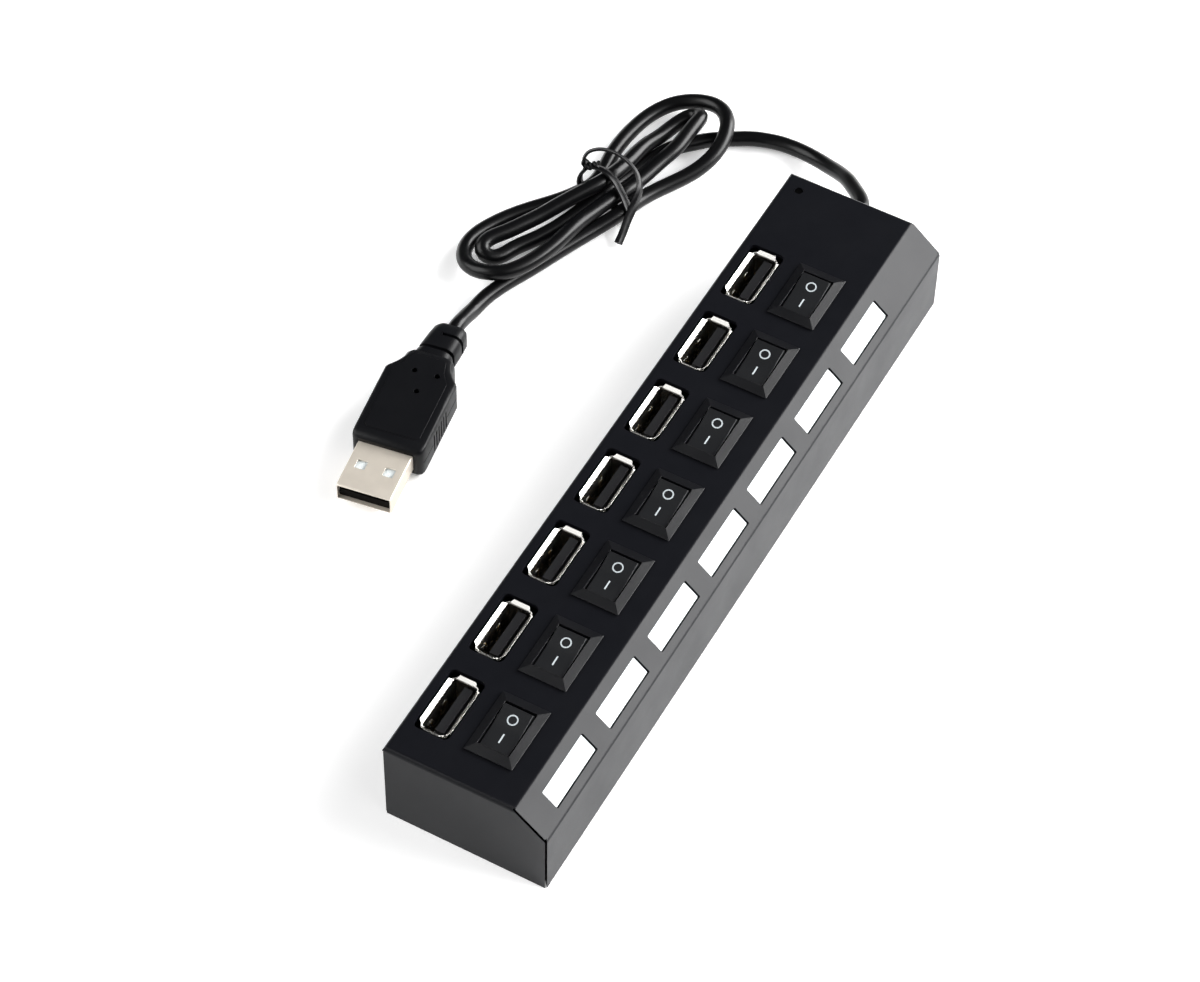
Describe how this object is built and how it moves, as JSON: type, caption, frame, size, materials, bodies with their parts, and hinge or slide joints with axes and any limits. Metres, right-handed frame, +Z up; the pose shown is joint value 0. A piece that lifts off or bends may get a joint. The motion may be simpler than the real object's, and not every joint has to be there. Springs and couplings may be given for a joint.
{
  "type": "usb hub",
  "caption": "Long black bar-shaped USB hub: a row of upright sockets, each with its own rocker switch and light window, and an attached lead folded into a tied hank ending in a plug.",
  "frame": {"origin": "bottom centre of the housing, on the plane it rests on", "axes": "+X along the housing towards the cable end, -Y towards the light windows, +Z up out of the sockets"},
  "size_m": [0.1931, 0.0954, 0.0242],
  "materials": {
    "cover_paint": "satin black powder coat",
    "base_plastic": "matt black",
    "screw_steel": "zinc plated",
    "standoff_metal": "machined",
    "spacer_plastic": "moulded ivory",
    "board_laminate": "green solder mask",
    "chip_plastic": "moulded black",
    "can_steel": "drawn can",
    "capacitor_sleeve": "sleeved can",
    "led_resin": "moulded white",
    "pipe_clear": "clear",
    "gland_rubber": "matt black",
    "cord_jacket": "satin black",
    "tie_plastic": "matt black",
    "plug_plastic": "satin black",
    "plug_nickel": "nickel plated",
    "socket_nickel": "bright nickel plated",
    "socket_plastic": "moulded black",
    "contact_gold": "gold flashed",
    "bezel_plastic": "fine matt black",
    "rocker_plastic": "satin black with printed marks",
    "terminal_metal": "tin plated",
    "window_plastic": "milky white"
  },
  "bodies": {
    "housing": {"top_cover": "cover_paint", "base_plate": "base_plastic", "base_screws": "screw_steel", "cover_standoffs": "standoff_metal", "board_spacers": "spacer_plastic", "main_board": "board_laminate", "hub_chips": "chip_plastic", "crystal": "can_steel", "board_capacitors": "capacitor_sleeve", "port_leds": "led_resin", "power_led": "led_resin", "power_light_pipe": "pipe_clear", "cable_header": "spacer_plastic", "inner_cable": "cord_jacket", "cable_gland": "gland_rubber", "socket_shell_1": "socket_nickel", "socket_shell_2": "socket_nickel", "socket_shell_3": "socket_nickel", "socket_shell_4": "socket_nickel", "socket_shell_5": "socket_nickel", "socket_shell_6": "socket_nickel", "socket_shell_7": "socket_nickel", "socket_insulator_1": "socket_plastic", "socket_insulator_2": "socket_plastic", "socket_insulator_3": "socket_plastic", "socket_insulator_4": "socket_plastic", "socket_insulator_5": "socket_plastic", "socket_insulator_6": "socket_plastic", "socket_insulator_7": "socket_plastic", "socket_contacts": "contact_gold", "switch_frame_1": "bezel_plastic", "switch_frame_2": "bezel_plastic", "switch_frame_3": "bezel_plastic", "switch_frame_4": "bezel_plastic", "switch_frame_5": "bezel_plastic", "switch_frame_6": "bezel_plastic", "switch_frame_7": "bezel_plastic", "switch_terminals": "terminal_metal", "light_window_1": "window_plastic", "light_window_2": "window_plastic", "light_window_3": "window_plastic", "light_window_4": "window_plastic", "light_window_5": "window_plastic", "light_window_6": "window_plastic", "light_window_7": "window_plastic", "cord_lead": "cord_jacket", "cord_hank": "cord_jacket", "cord_tail": "cord_jacket", "cord_tie": "tie_plastic", "plug_body": "plug_plastic", "plug_shell": "plug_nickel", "plug_insulator": "socket_plastic", "plug_contacts": "contact_gold"},
    "rocker_1": {"rocker_1": "rocker_plastic"},
    "rocker_2": {"rocker_2": "rocker_plastic"},
    "rocker_3": {"rocker_3": "rocker_plastic"},
    "rocker_4": {"rocker_4": "rocker_plastic"},
    "rocker_5": {"rocker_5": "rocker_plastic"},
    "rocker_6": {"rocker_6": "rocker_plastic"},
    "rocker_7": {"rocker_7": "rocker_plastic"}
  },
  "joints": [
    {"name": "rocker_1_tilt", "type": "hinge", "parent": "housing", "child": "rocker_1", "pos_m": [-0.069, -0.001, 0.0204], "axis": [0, 1, 0], "range_deg": [0, 16]},
    {"name": "rocker_2_tilt", "type": "hinge", "parent": "housing", "child": "rocker_2", "pos_m": [-0.04845, -0.001, 0.0204], "axis": [0, 1, 0], "range_deg": [0, 16]},
    {"name": "rocker_3_tilt", "type": "hinge", "parent": "housing", "child": "rocker_3", "pos_m": [-0.0279, -0.001, 0.0204], "axis": [0, 1, 0], "range_deg": [0, 16]},
    {"name": "rocker_4_tilt", "type": "hinge", "parent": "housing", "child": "rocker_4", "pos_m": [-0.00735, -0.001, 0.0204], "axis": [0, 1, 0], "range_deg": [0, 16]},
    {"name": "rocker_5_tilt", "type": "hinge", "parent": "housing", "child": "rocker_5", "pos_m": [0.0132, -0.001, 0.0204], "axis": [0, 1, 0], "range_deg": [0, 16]},
    {"name": "rocker_6_tilt", "type": "hinge", "parent": "housing", "child": "rocker_6", "pos_m": [0.03375, -0.001, 0.0204], "axis": [0, 1, 0], "range_deg": [0, 16]},
    {"name": "rocker_7_tilt", "type": "hinge", "parent": "housing", "child": "rocker_7", "pos_m": [0.0543, -0.001, 0.0204], "axis": [0, 1, 0], "range_deg": [0, 16]}
  ]
}
